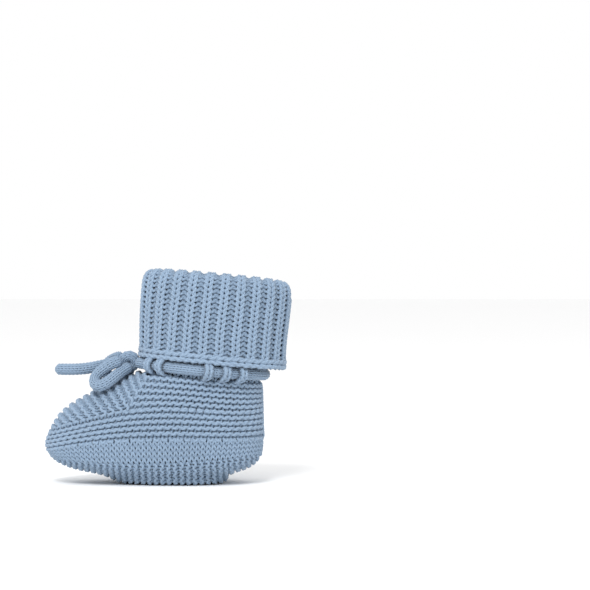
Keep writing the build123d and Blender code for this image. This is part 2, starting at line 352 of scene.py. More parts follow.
class Skein:
    """Gathers yarn and ground, the dark sheet of painted shade, into one mesh."""

    def __init__(self) -> None:
        self.verts: list[np.ndarray] = []
        self.faces: list[np.ndarray] = []
        self.uvs: list[np.ndarray] = []
        self.kinds: list[np.ndarray] = []
        self.shade_folds: list[np.ndarray] = []
        self.count = 0

    def _add(self, verts: np.ndarray, faces: np.ndarray, uvs: np.ndarray, kind: int,
             fold: np.ndarray) -> None:
        self.verts.append(verts.reshape(-1, 3))
        self.shade_folds.append(fold.ravel())
        self.faces.append(faces.reshape(-1, 4) + self.count)
        self.uvs.append(uvs.reshape(-1, 2))
        self.kinds.append(np.full(len(faces.reshape(-1, 4)), kind))
        self.count += len(verts.reshape(-1, 3))

    def yarn(self, centre: np.ndarray, normal: np.ndarray, radius: float, closed: bool, sides: int = 6,
             kind: int = 0, height: np.ndarray | None = None) -> None:
        """Adds a round yarn that follows a line of points.

        Args:
            centre: points of its middle.
            normal: a direction across the yarn at each point, never along it.
            radius: radius of the yarn.
            closed: whether it joins its own start.
            sides: faces round it.
            kind: 0 for yarn, 1 for ground, whose dark colour is painted shade.
            height: how far the yarn's middle lies in front of the fabric's middle, from -1 to 1; it sets how
                much painted shade the yarn gets.
        """
        n = len(centre)
        way = unit(np.roll(centre, -1, 0) - np.roll(centre, 1, 0) if closed else np.gradient(centre, axis=0))
        up = unit(normal - (normal * way).sum(-1, keepdims=True) * way)
        side = np.cross(way, up)
        angle = np.arange(sides) / sides * TURN
        ring = np.cos(angle)[None, :, None] * up[:, None] + np.sin(angle)[None, :, None] * side[:, None]
        verts = centre[:, None] + radius * ring
        run = np.concatenate([[0], np.cumsum(np.linalg.norm(np.diff(centre, axis=0), axis=1))]) / MM
        rows = n if closed else n - 1
        i, j = np.meshgrid(np.arange(rows), np.arange(sides), indexing="ij")
        i2, j2 = (i + 1) % n, (j + 1) % sides
        faces = np.stack([i * sides + j, i * sides + j2, i2 * sides + j2, i2 * sides + j], axis=-1)
        v0 = run[i]
        v1 = v0 + np.linalg.norm(centre[i2] - centre[i], axis=-1) / MM
        u0, u1 = j / sides, (j + 1) / sides
        uvs = np.stack([np.stack([u0, v0], -1), np.stack([u1, v0], -1), np.stack([u1, v1], -1),
                        np.stack([u0, v1], -1)], axis=-2)
        middle = np.zeros(n) if height is None else height
        # Painted shade: the fold value is lower at the backs of the loops and on the side of the yarn that
        # faces into the fabric; the yarn material mixes in its shade colour where it is low.
        fold = middle[:, None] + 0.8 * np.cos(angle)[None, :] * (up * unit(normal)).sum(-1)[:, None]
        self._add(verts, faces, uvs, kind, fold)
        if not closed:
            half = sides // 2
            first = [[sides - 1 - k, sides - 2 - k, k + 1, k] for k in range(half - 1)]
            caps = np.array(first + [[(n - 1) * sides + q for q in face[::-1]] for face in first])
            self.faces.append(caps + self.count - len(verts.reshape(-1, 3)))
            self.uvs.append(np.zeros((len(caps) * 4, 2)))
            self.kinds.append(np.full(len(caps), kind))

    def shade_ground(self, surface: Surface, top: float, bottom: float, count: tuple[int, int] = (120, 16)) -> None:
        """Adds a closed slab under a surface, between two depths measured outwards from it. It takes the
        ground material, whose dark colour is painted shade in the gaps between the loops.
        """
        nu, nv = count
        u = (np.arange(nu) / nu) if surface.closed else np.linspace(0, 1, nu)
        uu, vv = np.meshgrid(u, np.linspace(0, 1, nv), indexing="ij")
        place, normal = surface.at(uu, vv)
        verts = np.stack([place + normal * bottom, place + normal * top], axis=2)
        index = np.arange(nu * nv * 2).reshape(nu, nv, 2)
        wrap = np.concatenate([index, index[:1]]) if surface.closed else index

        def quads(a, b, c, d):
            return np.stack([a, b, c, d], axis=-1).reshape(-1, 4)

        sheets = [quads(wrap[:-1, :-1, 1], wrap[1:, :-1, 1], wrap[1:, 1:, 1], wrap[:-1, 1:, 1]),
                  quads(wrap[:-1, :-1, 0], wrap[:-1, 1:, 0], wrap[1:, 1:, 0], wrap[1:, :-1, 0]),
                  quads(wrap[:-1, 0, 0], wrap[1:, 0, 0], wrap[1:, 0, 1], wrap[:-1, 0, 1]),
                  quads(wrap[:-1, -1, 0], wrap[:-1, -1, 1], wrap[1:, -1, 1], wrap[1:, -1, 0])]
        if not surface.closed:
            sheets += [quads(index[0, :-1, 0], index[0, :-1, 1], index[0, 1:, 1], index[0, 1:, 0]),
                       quads(index[-1, :-1, 0], index[-1, 1:, 0], index[-1, 1:, 1], index[-1, :-1, 1])]
        faces = np.concatenate(sheets)
        place00, normal00 = surface.at(np.array([0.0, 1 / nu, 0.0]), np.array([0.5, 0.5, 0.55]))
        turn = np.cross(place00[1] - place00[0], place00[2] - place00[0]) @ normal00[0]
        if turn < 0:
            faces = faces[:, ::-1]
        self._add(verts, faces, np.zeros((len(faces) * 4, 2)), 1, np.zeros(verts.size // 3))

    def build(self, name: str, materials: Sequence[bpy.types.Material]) -> bpy.types.Object:
        """Makes the object."""
        verts, faces = np.concatenate(self.verts), np.concatenate(self.faces)
        mesh = bpy.data.meshes.new(name)
        mesh.vertices.add(len(verts))
        mesh.vertices.foreach_set("co", verts.ravel().astype(np.float32))
        mesh.loops.add(faces.size)
        mesh.loops.foreach_set("vertex_index", faces.ravel().astype(np.int32))
        mesh.polygons.add(len(faces))
        mesh.polygons.foreach_set("loop_start", (np.arange(len(faces)) * 4).astype(np.int32))
        mesh.polygons.foreach_set("material_index", np.concatenate(self.kinds).astype(np.int32))
        mesh.polygons.foreach_set("use_smooth", np.ones(len(faces), bool))
        mesh.update(calc_edges=True)
        layer = mesh.uv_layers.new(name="yarn")
        layer.data.foreach_set("uv", np.concatenate(self.uvs).ravel().astype(np.float32))
        fold = mesh.attributes.new("fold", "FLOAT", "POINT")
        fold.data.foreach_set("value", np.concatenate(self.shade_folds).astype(np.float32))
        for material in materials:
            mesh.materials.append(material)
        obj = bpy.data.objects.new(name, mesh)
        bpy.context.scene.collection.objects.link(obj)
        log.info("%s: %d triangles", name, 2 * len(faces))
        return obj


class Knitter:
    """Knits rows of stitches on a surface into a skein."""

    def __init__(self, skein: Skein, seed: int) -> None:
        self.skein = skein
        self.random = np.random.default_rng(seed)

    def row(self, surface: Surface, row: float, rows: float, edges: np.ndarray, gauge: Gauge, sign=1.0,
            lift: float | np.ndarray = 0.0, shear: Callable | None = None, inside: bool = False,
            sides: int = 6) -> None:
        """Knits one row.

        Args:
            surface: the fabric's outer surface.
            row: which row, from 0.
            rows: rows on the whole surface.
            edges: the stitches' borders, as values of u.
            gauge: shape of a stitch.
            sign: 1 or -1, for the row or for each stitch: which of its parts come forward.
            lift: how far the middle of the fabric is outside the surface, for the row or for each stitch.
            shear: moves u by a function of (u, v).
            inside: whether the loops stay within the surface's edges.
            sides: faces round the yarn.
        """
        n, m = len(edges) - 1, gauge.steps
        closed = surface.closed and abs(edges[-1] - edges[0] - 1) < 1e-6
        k = np.repeat(np.arange(n), m)
        tau = np.tile(np.arange(m) / m, n)
        if not closed:
            k, tau = np.append(k, n - 1), np.append(tau, 1.0)
        width = np.diff(edges)
        drift = self.random.normal(0, gauge.wander, (2, n))
        if closed:
            drift = (drift + np.roll(drift, 1, 1)) / 2
        bulge = np.sin(math.pi * tau)
        u = edges[k] + width[k] * (tau + gauge.sway * np.sin(2 * TURN * tau) + bulge * drift[0][k])
        v = (row + 0.5 - gauge.reach * np.cos(TURN * tau) + 1.4 * bulge * drift[1][k]) / rows
        v = np.clip(v, 0.0, 1.0) if inside else v
        signs = np.broadcast_to(np.asarray(sign, float), (n,))[k]
        if gauge.face is Face.GARTER:
            z = -signs * np.cos(TURN * tau)
        else:
            z = -signs * np.cos(2 * TURN * tau)
        lifts = np.broadcast_to(np.asarray(lift, float), (n,))
        height = gauge.depth * z + lifts[k]
        if np.ndim(sign) or np.ndim(lift):
            for _ in range(3):
                pad = np.concatenate([height[-1:], height, height[:1]]) if closed else \
                    np.concatenate([height[:1], height, height[-1:]])
                height = 0.25 * pad[:-2] + 0.5 * pad[1:-1] + 0.25 * pad[2:]
        if shear is not None:
            u = u + shear(u, v)
        place, normal = surface.at(u, v)
        # Painted shade: loops that lie further back get a lower fold value, and so a darker colour.
        fold = (height - lifts.mean()) / (gauge.depth + gauge.yarn)
        self.skein.yarn(place + normal * height[:, None], normal, gauge.yarn, closed, sides, height=fold)


# ---------------------------------------------------------------- finishes

def worked_out(tree: bpy.types.NodeTree, operation: str, *given) -> bpy.types.NodeSocket:
    """Adds a sum to a node tree. What is given is sockets or plain values, in the sum's own order."""
    node = tree.nodes.new("ShaderNodeMath")
    node.operation = operation
    for slot, value in zip(node.inputs, given):
        if isinstance(value, bpy.types.NodeSocket):
            tree.links.new(value, slot)
        else:
            slot.default_value = value
    return node.outputs[0]


def spread(tree: bpy.types.NodeTree, value: bpy.types.NodeSocket, old: tuple[float, float],
           new: tuple[float, float]) -> bpy.types.NodeSocket:
    """Maps a value from its old limits to new ones."""
    node = tree.nodes.new("ShaderNodeMapRange")
    for name, number in zip(("From Min", "From Max", "To Min", "To Max"), (*old, *new)):
        node.inputs[name].default_value = number
    tree.links.new(value, node.inputs["Value"])
    return node.outputs["Result"]


def speckle(tree: bpy.types.NodeTree, scale: float, detail: float) -> bpy.types.NodeSocket:
    """Adds noise that stays put on the object."""
    where, noise = tree.nodes.new("ShaderNodeTexCoord"), tree.nodes.new("ShaderNodeTexNoise")
    noise.inputs["Scale"].default_value = scale
    noise.inputs["Detail"].default_value = detail
    tree.links.new(where.outputs["Object"], noise.inputs["Vector"])
    return noise.outputs["Fac"]


def raised(tree: bpy.types.NodeTree, height: bpy.types.NodeSocket, strength: float, distance: float,
           under: bpy.types.NodeSocket | None = None) -> bpy.types.NodeSocket:
    """Adds a relief, over the one under it if there is one."""
    bump = tree.nodes.new("ShaderNodeBump")
    bump.inputs["Strength"].default_value = strength
    bump.inputs["Distance"].default_value = distance
    tree.links.new(height, bump.inputs["Height"])
    if under is not None:
        tree.links.new(under, bump.inputs["Normal"])
    return bump.outputs["Normal"]


class Palette:
    """Makes the materials once and keeps them by name."""

    def __init__(self) -> None:
        self.made: dict[str, bpy.types.Material] = {}
        self.heather = self._heather_group()

    @staticmethod
    def _heather_group() -> bpy.types.NodeTree:
        """A node group: slow and fine unevenness of dyed cotton, as a value round 1."""
        group = bpy.data.node_groups.new("heather", "ShaderNodeTree")
        group.interface.new_socket("Strength", in_out="INPUT", socket_type="NodeSocketFloat")
        group.interface.new_socket("Value", in_out="OUTPUT", socket_type="NodeSocketFloat")
        given, out = group.nodes.new("NodeGroupInput"), group.nodes.new("NodeGroupOutput")
        total = -0.8
        for scale, weight in ((55.0, 0.5), (900.0, 0.6), (3200.0, 0.5)):
            total = worked_out(group, "MULTIPLY_ADD", speckle(group, scale, 2.0), weight, total)
        scaled = worked_out(group, "MULTIPLY_ADD", total, given.outputs["Strength"], 1.0)
        group.links.new(scaled, out.inputs["Value"])
        return group

    def yarn(self, finish: YarnFinish) -> bpy.types.Material:
        """A twisted matte yarn. Its twist follows its UV map: u round it, v along it in millimetres. Painted
        shade: its colour is mixed towards the shade colour at the backs of the loops, on the yarn's inner
        side and in the grooves between its plies.
        """
        if finish.name in self.made:
            return self.made[finish.name]
        material = bpy.data.materials.new(finish.name)
        material.use_nodes = True
        tree = material.node_tree
        nodes, links = tree.nodes, tree.links
        shader = nodes["Principled BSDF"]
        shader.inputs["Roughness"].default_value = finish.roughness
        shader.inputs["Sheen Weight"].default_value = finish.sheen
        shader.inputs["Sheen Roughness"].default_value = 0.5
        shader.inputs["Specular IOR Level"].default_value = 0.18

        uv, split = nodes.new("ShaderNodeUVMap"), nodes.new("ShaderNodeSeparateXYZ")
        uv.uv_map = "yarn"
        links.new(uv.outputs["UV"], split.inputs[0])
        strands = worked_out(tree, "MULTIPLY", split.outputs["X"], PLIES * TURN)
        phase = worked_out(tree, "MULTIPLY_ADD", split.outputs["Y"], finish.twist_per_mm * TURN, strands)
        ply = spread(tree, worked_out(tree, "COSINE", phase), (-1.0, 1.0), (0.0, 1.0))

        # Painted shade: the fold attribute and the ply grooves mix the yarn's colour towards its shade
        # colour.
        painted_shade_fold = nodes.new("ShaderNodeAttribute")
        painted_shade_fold.attribute_name = "fold"
        ply_groove_shade = spread(tree, ply, (0.0, 1.0), (0.80, 1.0))
        front = spread(tree, painted_shade_fold.outputs["Fac"], (-0.75, 0.65), (0.0, 1.0))
        mix = nodes.new("ShaderNodeMix")
        mix.data_type = "RGBA"
        mix.inputs["A"].default_value = (*finish.shade, 1)
        mix.inputs["B"].default_value = (*finish.colour, 1)
        links.new(worked_out(tree, "MULTIPLY", ply_groove_shade, front), mix.inputs["Factor"])

        heather, tint = nodes.new("ShaderNodeGroup"), nodes.new("ShaderNodeVectorMath")
        heather.node_tree = self.heather
        heather.inputs["Strength"].default_value = 0.30
        tint.operation = "SCALE"
        links.new(mix.outputs["Result"], tint.inputs[0])
        links.new(heather.outputs["Value"], tint.inputs["Scale"])
        links.new(tint.outputs["Vector"], shader.inputs["Base Color"])

        twist = raised(tree, ply, 1.0, finish.twist_depth)
        fuzz = raised(tree, speckle(tree, 5200.0, 3.0), 0.45, 0.08 * MM, twist)
        links.new(fuzz, shader.inputs["Normal"])
        self.made[finish.name] = material
        return material

    def plain(self, name: str, colour: tuple[float, float, float], roughness: float) -> bpy.types.Material:
        """A single matte colour."""
        if name not in self.made:
            material = bpy.data.materials.new(name)
            material.use_nodes = True
            shader = material.node_tree.nodes["Principled BSDF"]
            shader.inputs["Base Color"].default_value = (*colour, 1)
            shader.inputs["Roughness"].default_value = roughness
            shader.inputs["Specular IOR Level"].default_value = 0.1
            self.made[name] = material
        return self.made[name]


# The yarn's own colour, and the painted shade colour mixed into its folds and ply grooves.
DUSTY_BLUE = (0.262, 0.358, 0.480)
PAINTED_SHADE_BLUE = (0.035, 0.065, 0.110)
FOOT_YARN = YarnFinish("foot yarn", DUSTY_BLUE, PAINTED_SHADE_BLUE)
CUFF_YARN = YarnFinish("cuff yarn", DUSTY_BLUE, PAINTED_SHADE_BLUE)
TIE_YARN = YarnFinish("tie yarn", DUSTY_BLUE, PAINTED_SHADE_BLUE, twist_per_mm=0.8, twist_depth=0.00007)
# Painted shade: the ground's near-black blue stands for the shade in the gaps between the loops.
PAINTED_GAP_SHADE = (0.022, 0.055, 0.11)


# ---------------------------------------------------------------- surfaces of the bootie

FOOT_NODES = ("sole", "sole_edge", "foot_band", "side_wall_right", "side_wall_left", "instep", "heel_seam")


@dataclass
class Shapes:
    """The bootie's outer surfaces, read from the frame."""

    foot: Caster
    outer_cuff: Caster
    tie: Caster

    @classmethod
    def read(cls) -> "Shapes":
        """Reads the nodes."""
        return cls(Caster(*FOOT_NODES), Caster("cuff", "cuff_hem"), Caster("ankle_tie"))

    def foot_line(self, angles: np.ndarray, height: Callable) -> np.ndarray:
        """Points round the foot at angles from the toe, at the height that height(y) gives."""
        out = []
        z = 0.025
        for a in angles:
            way = np.array((math.sin(a), -math.cos(a), 0.0))
            p = None
            for _ in range(5):
                centre = np.array((0.0, MIDFOOT_Y, z))
                q = self.foot.hit(centre + way * 0.09, centre)
                if q is None:
                    break
                p = q
                z = float(height(p[1]))
            out.append(p if p is not None else out[-1])
        return np.array(out)

    def foot_ring(self, low: Callable, high: Callable, levels: int = 9, count: int = 240) -> Surface:
        """A closed band round the foot, between two seam lines."""
        angles = np.linspace(-math.pi, math.pi, 361)[:-1]
        rows = []
        for f in np.linspace(0, 1, levels):
            line = self.foot_line(angles, lambda y, f=f: (1 - f) * low(y) + f * high(y))
            rows.append(resample(line, count, closed=True))
        points = np.stack(rows, axis=1)
        return Surface(points, points - np.array((0.0, MIDFOOT_Y, 0.02)), closed=True)

    def wall(self, side: int, levels: int = 11, count: int = 60) -> Surface:
        """One side wall, from the heel seam to the seam beside the instep."""
        rows = []
        for f in np.linspace(0, 1, levels):
            angles = side * np.linspace(math.pi - 0.03, 0.45, 190)
            line = self.foot_line(angles, lambda y, f=f: (1 - f) * band_z(y) + f * ankle_z(y, ANKLE_LOW))
            inside = line[:, 1] > instep_front(line[:, 2]) - 0.0010
            last = len(line) if inside.all() else int(np.argmin(inside))
            rows.append(resample(line[:last], count))
        points = np.stack(rows, axis=1)
        return Surface(points, np.array((side, 0.0, 0.0)))

    def instep(self, levels: int = 34, count: int = 41) -> Surface:
        """The instep, row by row from the toe to the ankle. v runs from toe to ankle."""
        rows = []
        for t in np.linspace(-0.02, 1.02, levels):
            lean = math.radians(58 - 36 * t)
            top = np.array((0.0, -0.0545 + 0.0425 * t, 0.0250 + 0.0265 * t))
            way = np.array((0.0, -math.sin(lean), math.cos(lean)))
            centre = top - way * 0.017
            fans = np.radians(np.linspace(-118, 118, 237))
            hits = self.foot.line(
                np.array([centre + (way * math.cos(a) + np.array((math.sin(a), 0, 0))) * 0.05 for a in fans]),
                np.tile(centre, (len(fans), 1)))
            inside = (hits[:, 2] > band_z(hits[:, 1])) & (hits[:, 1] < instep_front(hits[:, 2]))
            across = np.linspace(-1, 1, count)[:, None]
            swell = INSTEP_SWELL * math.sin(math.pi * min(max(t, 0), 1)) * (1 - across ** 2)
            rows.append(resample(middle_stretch(hits, inside), count) + swell * INSTEP_OUT)
        return Surface(np.stack(rows, axis=1), INSTEP_OUT)

    def sole(self, levels: int = 60, count: int = 31) -> Surface:
        """The sole's underside, slice by slice from the toe to the heel."""
        rows = []
        for y in np.linspace(-0.0532, 0.0422, levels):
            centre = np.array((0.0, y, 0.0125))
            fans = np.radians(np.linspace(-96, 96, 193))
            ways = np.stack([np.sin(fans), np.zeros_like(fans), -np.cos(fans)], axis=1)
            hits = self.foot.line(centre + ways * 0.06, np.tile(centre, (len(fans), 1)))
            rows.append(resample(middle_stretch(hits, hits[:, 2] < sole_z(y)), count))
        return Surface(np.stack(rows, axis=1), np.array((0.0, 0.0, -1.0)))

    def leg_ring(self, caster: Caster, w: float, backset: float, count: int = 240) -> np.ndarray:
        """Points round the leg at its level w, evenly spaced from the back."""
        angles = np.linspace(-math.pi, math.pi, 361)[:-1]
        centre = leg_place(0.0, backset, w)
        starts = leg_place(RAY_REACH * np.sin(angles), backset - RAY_REACH * np.cos(angles), w)
        return resample(caster.line(starts, np.tile(centre, (len(angles), 1))), count, closed=True)

    def cuff(self) -> Surface:
        """The turned-down rib as one fabric: up the outside, over the fold and down the inside."""
        levels = np.linspace(CUFF_LOW + 0.4 * MM, CUFF_HIGH, 9)
        rows = [self.leg_ring(self.outer_cuff, w, CUFF_BACKSET) for w in levels]
        rising = rows[-1]
        along = np.roll(rising, -1, 0) - np.roll(rising, 1, 0)
        out = unit(np.cross(along, LEG_UP))
        out *= np.sign((out * (rising - leg_place(0.0, CUFF_BACKSET, CUFF_HIGH))).sum(-1, keepdims=True))
        sideways = np.abs(out[:, :1])
        height = FOLD_HEIGHT * (0.86 + 0.20 * sideways)
        normals = [out] * len(rows)
        for angle in np.linspace(0, math.pi, 13)[1:]:
            rows.append(rising - out * FOLD_HALF * (1 - math.cos(angle)) + LEG_UP * height * math.sin(angle))
            normals.append(out * math.cos(angle) + LEG_UP * math.sin(angle))
        for row in rows[7:0:-1]:
            rows.append(row - out * FOLD_HALF * 2)
            normals.append(-out)
        return Surface(np.stack(rows, axis=1), np.stack(normals, axis=1), closed=True).evened(90)


# ---------------------------------------------------------------- panels

ONE_STITCH = np.array([0.0, 1.0])
STITCH_WIDTH = 3.5 * MM
GARTER_RIDGE = 2.85 * MM
INSTEP_RIDGE = 3.5 * MM
HEM_HEIGHT = 4.4 * MM
HEM_DROP = 1.6 * MM
HEM_PITCH = 3.4 * MM

@dataclass
class Bootie:
    """Builds the knitted panels and puts each on its body."""

    palette: Palette
    shapes: Shapes

    def put_on(self, skein: Skein, name: str, finish: YarnFinish, slot: str, nodes: Sequence[str],
                body: str = "bootie") -> bpy.types.Object:
        """Builds a skein's object, puts it on its body and hides the frame's nodes that it stands for."""
        # Painted shade: the ground material's near-black blue stands for the shade in the gaps between the
        # loops and inside the cords.
        shade_ground = self.palette.plain("shade_ground", PAINTED_GAP_SHADE, 0.95)
        obj = skein.build(name.replace(" ", "_") + "_yarn", [self.palette.yarn(finish), shade_ground])
        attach(obj, body)
        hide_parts(*nodes)
        return obj

    @staticmethod
    def _garter(surface: Surface, rows: int, borders: Callable, gauge: Gauge, layer: Layer,
                seed: int) -> Skein:
        """Knits rows that come forward by turns.

        Args:
            surface: the fabric's outer surface.
            rows: how many rows.
            borders: gives the stitches' borders in a row, as values of u.
            gauge: shape of a stitch.
            layer: how deep the rows lie.
            seed: seed of the unevenness.
        """
        skein = Skein()
        knitter = Knitter(skein, seed)
        for row in range(rows):
            knitter.row(surface, row, rows, borders(row), gauge, sign=1 if row % 2 else -1, lift=layer.lift)
        return skein

    @staticmethod
    def _shaped(surface: Surface, rows: int, stitch: float) -> Callable:
        """Borders of stitches about as wide as asked, on a panel whose width changes."""
        def borders(row: int) -> np.ndarray:
            return np.linspace(0, 1, max(2, round(surface.width((row + 1) // 2 * 2 / rows) / stitch)) + 1)
        return borders

    @staticmethod
    def _chain(surface: Surface, rows: int, lift: float, seed: int) -> Skein:
        """Knits a chain of single stitches, one to a row."""
        skein = Skein()
        knitter = Knitter(skein, seed)
        for row in range(rows):
            knitter.row(surface, row, rows, ONE_STITCH, CHAIN, lift=lift)
        return skein

    def foot_band(self) -> None:
        """The lower rows, round heel, sides and toe. Each row starts a little further round."""
        surface = self.shapes.foot_ring(border_z, band_z)
        stitches = 69
        even = np.linspace(0, 1, stitches + 1)
        skein = self._garter(surface, 10, lambda row: even + 0.12 / stitches * row, GARTER, WALL_LAYER, 11)
        skein.shade_ground(surface, WALL_LAYER.top, WALL_LAYER.bottom, (160, 12))
        self.put_on(skein, "lower rows", FOOT_YARN, "garter_knit", ["foot_band"])

    def walls(self) -> None:
        """The upper rows of both sides."""
        for side, node in ((1, "side_wall_right"), (-1, "side_wall_left")):
            surface = self.shapes.wall(side)
            edges = np.linspace(0, 1, round(surface.width(0.5) / STITCH_WIDTH) + 1)
            skein = self._garter(surface, 11, lambda row, e=edges: e, GARTER, WALL_LAYER, 20 + side)
            skein.shade_ground(surface.part(0.0, 0.95), WALL_LAYER.top, WALL_LAYER.bottom, (60, 16))
            self.put_on(skein, node.replace("_", " "), FOOT_YARN, "garter_knit", [node])

    def instep(self) -> None:
        """The instep, with its ridges across the foot."""
        surface = self.shapes.instep().evened(40)
        rows = 2 * round(run_of(surface.grid[surface.grid.shape[0] // 2, :, :3]) / INSTEP_RIDGE)
        borders = self._shaped(surface, rows, 3.3 * MM)
        skein = self._garter(surface, rows, borders, INSTEP_GARTER, INSTEP_LAYER, 31)
        skein.shade_ground(surface.part(0.01, 0.95, 40), INSTEP_LAYER.top, INSTEP_LAYER.bottom, (40, 40))
        self.put_on(skein, "instep knit", FOOT_YARN, "garter_knit", ["instep"])

    def sole(self) -> None:
        """The sole, with its ridges across the foot."""
        surface = self.shapes.sole().evened(70)
        rows = 72
        borders = self._shaped(surface, rows, 3.4 * MM)
        skein = self._garter(surface, rows, borders, SOLE_GARTER, SOLE_LAYER, 41)
        skein.shade_ground(surface, SOLE_LAYER.top, SOLE_LAYER.bottom, (40, 60))
        self.put_on(skein, "sole knit", FOOT_YARN, "sole_knit", ["sole"])

    def sole_edge(self) -> None:
        """The small stitches picked up round the sole."""
        surface = self.shapes.foot_ring(sole_z, border_z)
        skein = Skein()
        knitter = Knitter(skein, 51)
        stitches, rows = 98, 4
        for row in range(rows):
            edges = np.linspace(0, 1, stitches + 1) + 0.15 * row / stitches
            knitter.row(surface, row, rows, edges, EDGE_PLAIN, lift=EDGE_LAYER.lift)
        skein.shade_ground(surface, EDGE_LAYER.top, EDGE_LAYER.bottom, (160, 10))
        self.put_on(skein, "sole edge knit", FOOT_YARN, "sole_knit", ["sole_edge"])

    def heel_seam(self) -> None:
        """The sewn seam up the heel."""
        z = np.linspace(float(border_z(0.043)), float(ankle_z(0.042, ANKLE_LOW)), 20)
        back = np.array([self.shapes.foot.hit(np.array((0.0, 0.09, h)), np.array((0.0, 0.0, h))) for h in z])
        rows = round(float(z[-1] - z[0]) / GARTER_RIDGE)
        skein = self._chain(strip(back, SIDEWAYS, 1.7 * MM, BACKWARDS), rows, -0.75 * MM, 61)
        self.put_on(skein, "heel seam chain", FOOT_YARN, "garter_knit", ["heel_seam"])

    def ankle(self) -> None:
        """The ankle band and the bars over the tie."""
        caster = Caster("ankle_band")
        rows_w = np.linspace(ANKLE_LOW, ANKLE_HIGH, 5)
        rings = [self.shapes.leg_ring(caster, w, BAND_BACKSET) for w in rows_w]
        flat = (rings[0] + rings[-1]) / 2
        points = np.stack([flat + LEG_UP * w for w in rows_w], axis=1)
        surface = Surface(points, points - leg_place(0.0, BAND_BACKSET, 0.0), closed=True)
        skein = Skein()
        knitter = Knitter(skein, 71)
        for row in range(4):
            edges = np.linspace(0, 1, 47) + 0.01 * (row % 2)
            knitter.row(surface, row, 4, edges, EDGE_PLAIN, lift=ANKLE_LAYER.lift)
        skein.shade_ground(surface, ANKLE_LAYER.top, ANKLE_LAYER.bottom, (120, 6))
        self.put_on(skein, "ankle band knit", FOOT_YARN, "garter_knit", ["ankle_band"])
        self._bars()

    def _bars(self) -> None:
        """Bars of stitches over the tie, found where rays at the tie's level meet them."""
        skein = Skein()
        knitter = Knitter(skein, 72)
        caster = Caster("eyelet_bars")
        centre = leg_place(0.0, BAND_BACKSET, 0.0)
        found: list[list[np.ndarray]] = [[]]
        for angle in np.linspace(-math.pi, math.pi, 721):
            way = leg_place(math.sin(angle), BAND_BACKSET - math.cos(angle), 0.0) - centre
            place = caster.hit(centre + way * RAY_REACH, centre)
            if place is not None:
                found[-1].append(place)
            elif found[-1]:
                found.append([])
        rise = np.linspace(-1, 1, 17)[:, None]
        for bar in (b for b in found if len(b) > 3):
            top, along = bar[len(bar) // 2], unit(bar[-1] - bar[0])
            out = unit(np.cross(along, LEG_UP))
            out *= np.sign(out @ (top - centre))
            arch = top + LEG_UP * rise * 0.0044 - out * 0.0064 * (1 - np.sqrt(1 - rise ** 2))
            surface = strip(arch, along, 1.9 * MM, arch - centre)
            for row in range(5):
                knitter.row(surface, row, 5, ONE_STITCH, CHAIN, lift=-0.6 * MM)
        self.put_on(skein, "eyelet bars knit", FOOT_YARN, "garter_knit", ["eyelet_bars"])

    def cuff(self) -> None:
        """The ribbed cuff, its fold and the leg inside it."""
        surface = self.shapes.cuff()
        rows = 34
        pair = np.array(RIB_WIDTHS) / sum(RIB_WIDTHS) / RIB_REPEATS
        edges = np.concatenate([[0], np.cumsum(np.tile(pair, RIB_REPEATS))])
        signs = np.tile([1.0, -1.0], RIB_REPEATS)
        lifts = np.tile(RIB_LIFTS, RIB_REPEATS) * MM

        def shear(u, v):
            """Draws the front ribs together at the hem and spreads them towards the fold."""
            front = 0.5 - 0.5 * np.cos(TURN * u)
            return -0.03 * (v - 0.2) * front ** 2 * np.sin(TURN * u)

        spans = ((0, 13, "cuff rib", "cuff"), (13, 20, "fold rib", "cuff_fold"), (20, 34, "leg rib", "leg"))
        for first, last, name, node in spans:
            skein = Skein()
            knitter = Knitter(skein, 80 + first)
            for row in range(first, last):
                knitter.row(surface, row, rows, edges, RIB, sign=signs, lift=lifts, shear=shear)
            skein.shade_ground(surface.part(first / rows, last / rows), -3.0 * MM, -3.5 * MM, (160, 14))
            self.put_on(skein, name, CUFF_YARN, "rib_knit", [node])

        self._hem()

        line = surface.at(np.zeros(40), np.linspace(0.0, 0.40, 40))[0]
        skein = self._chain(strip(line, SIDEWAYS, 1.6 * MM, BACKWARDS), 13, -0.9 * MM, 95)
        self.put_on(skein, "cuff seam chain", CUFF_YARN, "rib_knit", ["cuff_seam"])

    def _hem(self) -> None:
        """The cast-off chain that runs round the cuff's edge."""
        ring = self.shapes.leg_ring(self.shapes.outer_cuff, CUFF_LOW + 0.4 * MM, CUFF_BACKSET)
        line = np.vstack([ring, ring[:1]])
        rise = np.array([0.0, 0.5, 1.0]) * HEM_HEIGHT
        points = np.stack([line + LEG_UP * (h - HEM_DROP) for h in rise])
        surface = Surface(points, points - ring.mean(axis=0))
        skein = self._chain(surface, round(run_of(line) / HEM_PITCH), -0.7 * MM, 91)
        self.put_on(skein, "hem chain", CUFF_YARN, "rib_knit", ["cuff_hem"])


# ---------------------------------------------------------------- the tie

CORD_STITCHES = 7

def cord_line(name: str, points: Sequence[tuple[float, float, float]]) -> np.ndarray:
    """Close points along a smooth line, read from a spline through the route's control points."""
    curve = bpy.data.curves.new(name, "CURVE")
    curve.dimensions = "3D"
    spline = curve.splines.new("NURBS")
    spline.points.add(len(points) - 1)
    for point, place in zip(spline.points, points):
        point.co = (*(c * MM for c in place), 1.0)
    spline.order_u = 3
    spline.use_endpoint_u = True
    spline.resolution_u = 12
    holder = bpy.data.objects.new(name, curve)
    bpy.context.scene.collection.objects.link(holder)
    bpy.context.view_layer.update()
    mesh = bpy.data.meshes.new_from_object(holder.evaluated_get(bpy.context.evaluated_depsgraph_get()))
    line = np.array([v.co[:] for v in mesh.vertices])
    bpy.data.objects.remove(holder)
    bpy.data.curves.remove(curve)
    bpy.data.meshes.remove(mesh)
    return line


